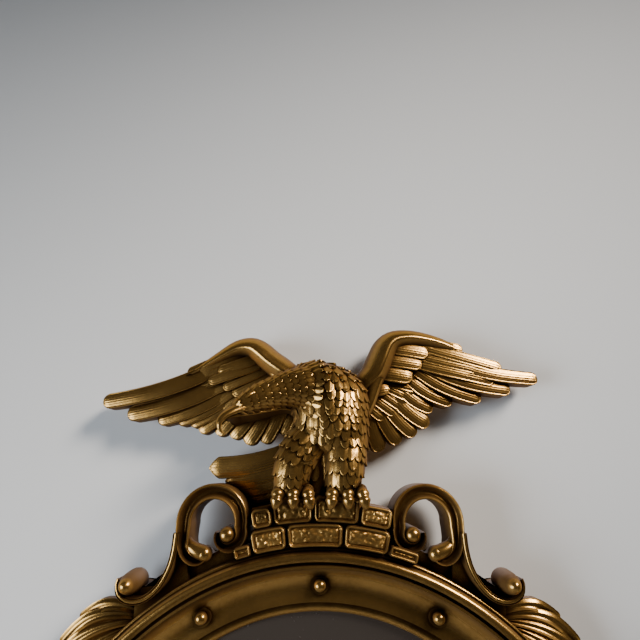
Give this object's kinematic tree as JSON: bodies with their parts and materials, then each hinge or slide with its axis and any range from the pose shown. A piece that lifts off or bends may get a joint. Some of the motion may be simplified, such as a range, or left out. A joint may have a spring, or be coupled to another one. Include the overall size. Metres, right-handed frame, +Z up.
{
  "type": "eagle convex mirror",
  "caption": "Round convex wall mirror in a gilt reeded frame with balls in its cove, crowned by a spread-winged eagle on rockwork between scrolls, with acanthus leaves at sides and foot.",
  "frame": {"origin": "top of the hanger ring's inside, on the wall plane, where the wall hook bears", "axes": "+X to the right seen from the front, +Y into the wall, +Z up; the front faces -Y"},
  "size_m": [0.406, 0.0825, 0.6449],
  "materials": {
    "gilt": "antique gilt over carved wood, brown glaze in the hollows",
    "gilt_ball": "antique gilt, burnished",
    "mirror_glass": "silvered convex glass, slightly foxed",
    "grey_board": "plain grey card",
    "brown_board": "plain hardboard",
    "raw_wood": "raw wood",
    "zinc_steel": "zinc plated",
    "felt_rubber": "matte"
  },
  "bodies": {
    "frame": {"apron_dowels": "raw_wood", "apron_leaf_centre": "gilt", "apron_leaf_left": "gilt", "apron_leaf_right": "gilt", "back_board": "brown_board", "bumper_left": "felt_rubber", "bumper_right": "felt_rubber", "convex_glass": "mirror_glass", "cove_ball_01": "gilt_ball", "cove_ball_02": "gilt_ball", "cove_ball_03": "gilt_ball", "cove_ball_04": "gilt_ball", "cove_ball_05": "gilt_ball", "cove_ball_06": "gilt_ball", "cove_ball_07": "gilt_ball", "cove_ball_08": "gilt_ball", "cove_ball_09": "gilt_ball", "cove_ball_10": "gilt_ball", "cove_ball_11": "gilt_ball", "cove_ball_12": "gilt_ball", "cove_ball_13": "gilt_ball", "eagle_body": "gilt", "eagle_dowels": "raw_wood", "eagle_head": "gilt", "glass_spacer": "grey_board", "hanger_plate": "zinc_steel", "hanger_screws": "zinc_steel", "leaf_dowels": "raw_wood", "leaf_spray_left": "gilt", "leaf_spray_right": "gilt", "plinth_dowels": "raw_wood", "ring_moulding": "gilt", "rock_plinth": "gilt", "scroll_dowels": "raw_wood", "scroll_left": "gilt", "scroll_right": "gilt", "sight_slip": "gilt", "stem_left": "gilt", "stem_right": "gilt", "tail_fan": "gilt", "talons_left": "gilt", "talons_right": "gilt", "turn_button_screws": "zinc_steel", "wing_dowels": "raw_wood", "wing_left": "gilt", "wing_right": "gilt"},
    "hanger_loop": {"hanger_ring": "zinc_steel"},
    "button_1": {"turn_button_1": "zinc_steel"},
    "button_2": {"turn_button_2": "zinc_steel"},
    "button_3": {"turn_button_3": "zinc_steel"},
    "button_4": {"turn_button_4": "zinc_steel"}
  },
  "joints": [
    {"name": "hanger_swing", "type": "hinge", "parent": "frame", "child": "hanger_loop", "pos_m": [0, -0.003, -0.014], "axis": [-1, 0, 0], "range_deg": [0, 180]},
    {"name": "button_1_turn", "type": "hinge", "parent": "frame", "child": "button_1", "pos_m": [0.13081, -0.0047, -0.08818], "axis": [0, 1, 0], "range_deg": [-90, 90]},
    {"name": "button_2_turn", "type": "hinge", "parent": "frame", "child": "button_2", "pos_m": [0.13081, -0.0047, -0.34981], "axis": [0, 1, 0], "range_deg": [-90, 90]},
    {"name": "button_3_turn", "type": "hinge", "parent": "frame", "child": "button_3", "pos_m": [-0.13081, -0.0047, -0.34981], "axis": [0, 1, 0], "range_deg": [-90, 90]},
    {"name": "button_4_turn", "type": "hinge", "parent": "frame", "child": "button_4", "pos_m": [-0.13081, -0.0047, -0.08818], "axis": [0, 1, 0], "range_deg": [-90, 90]}
  ]
}
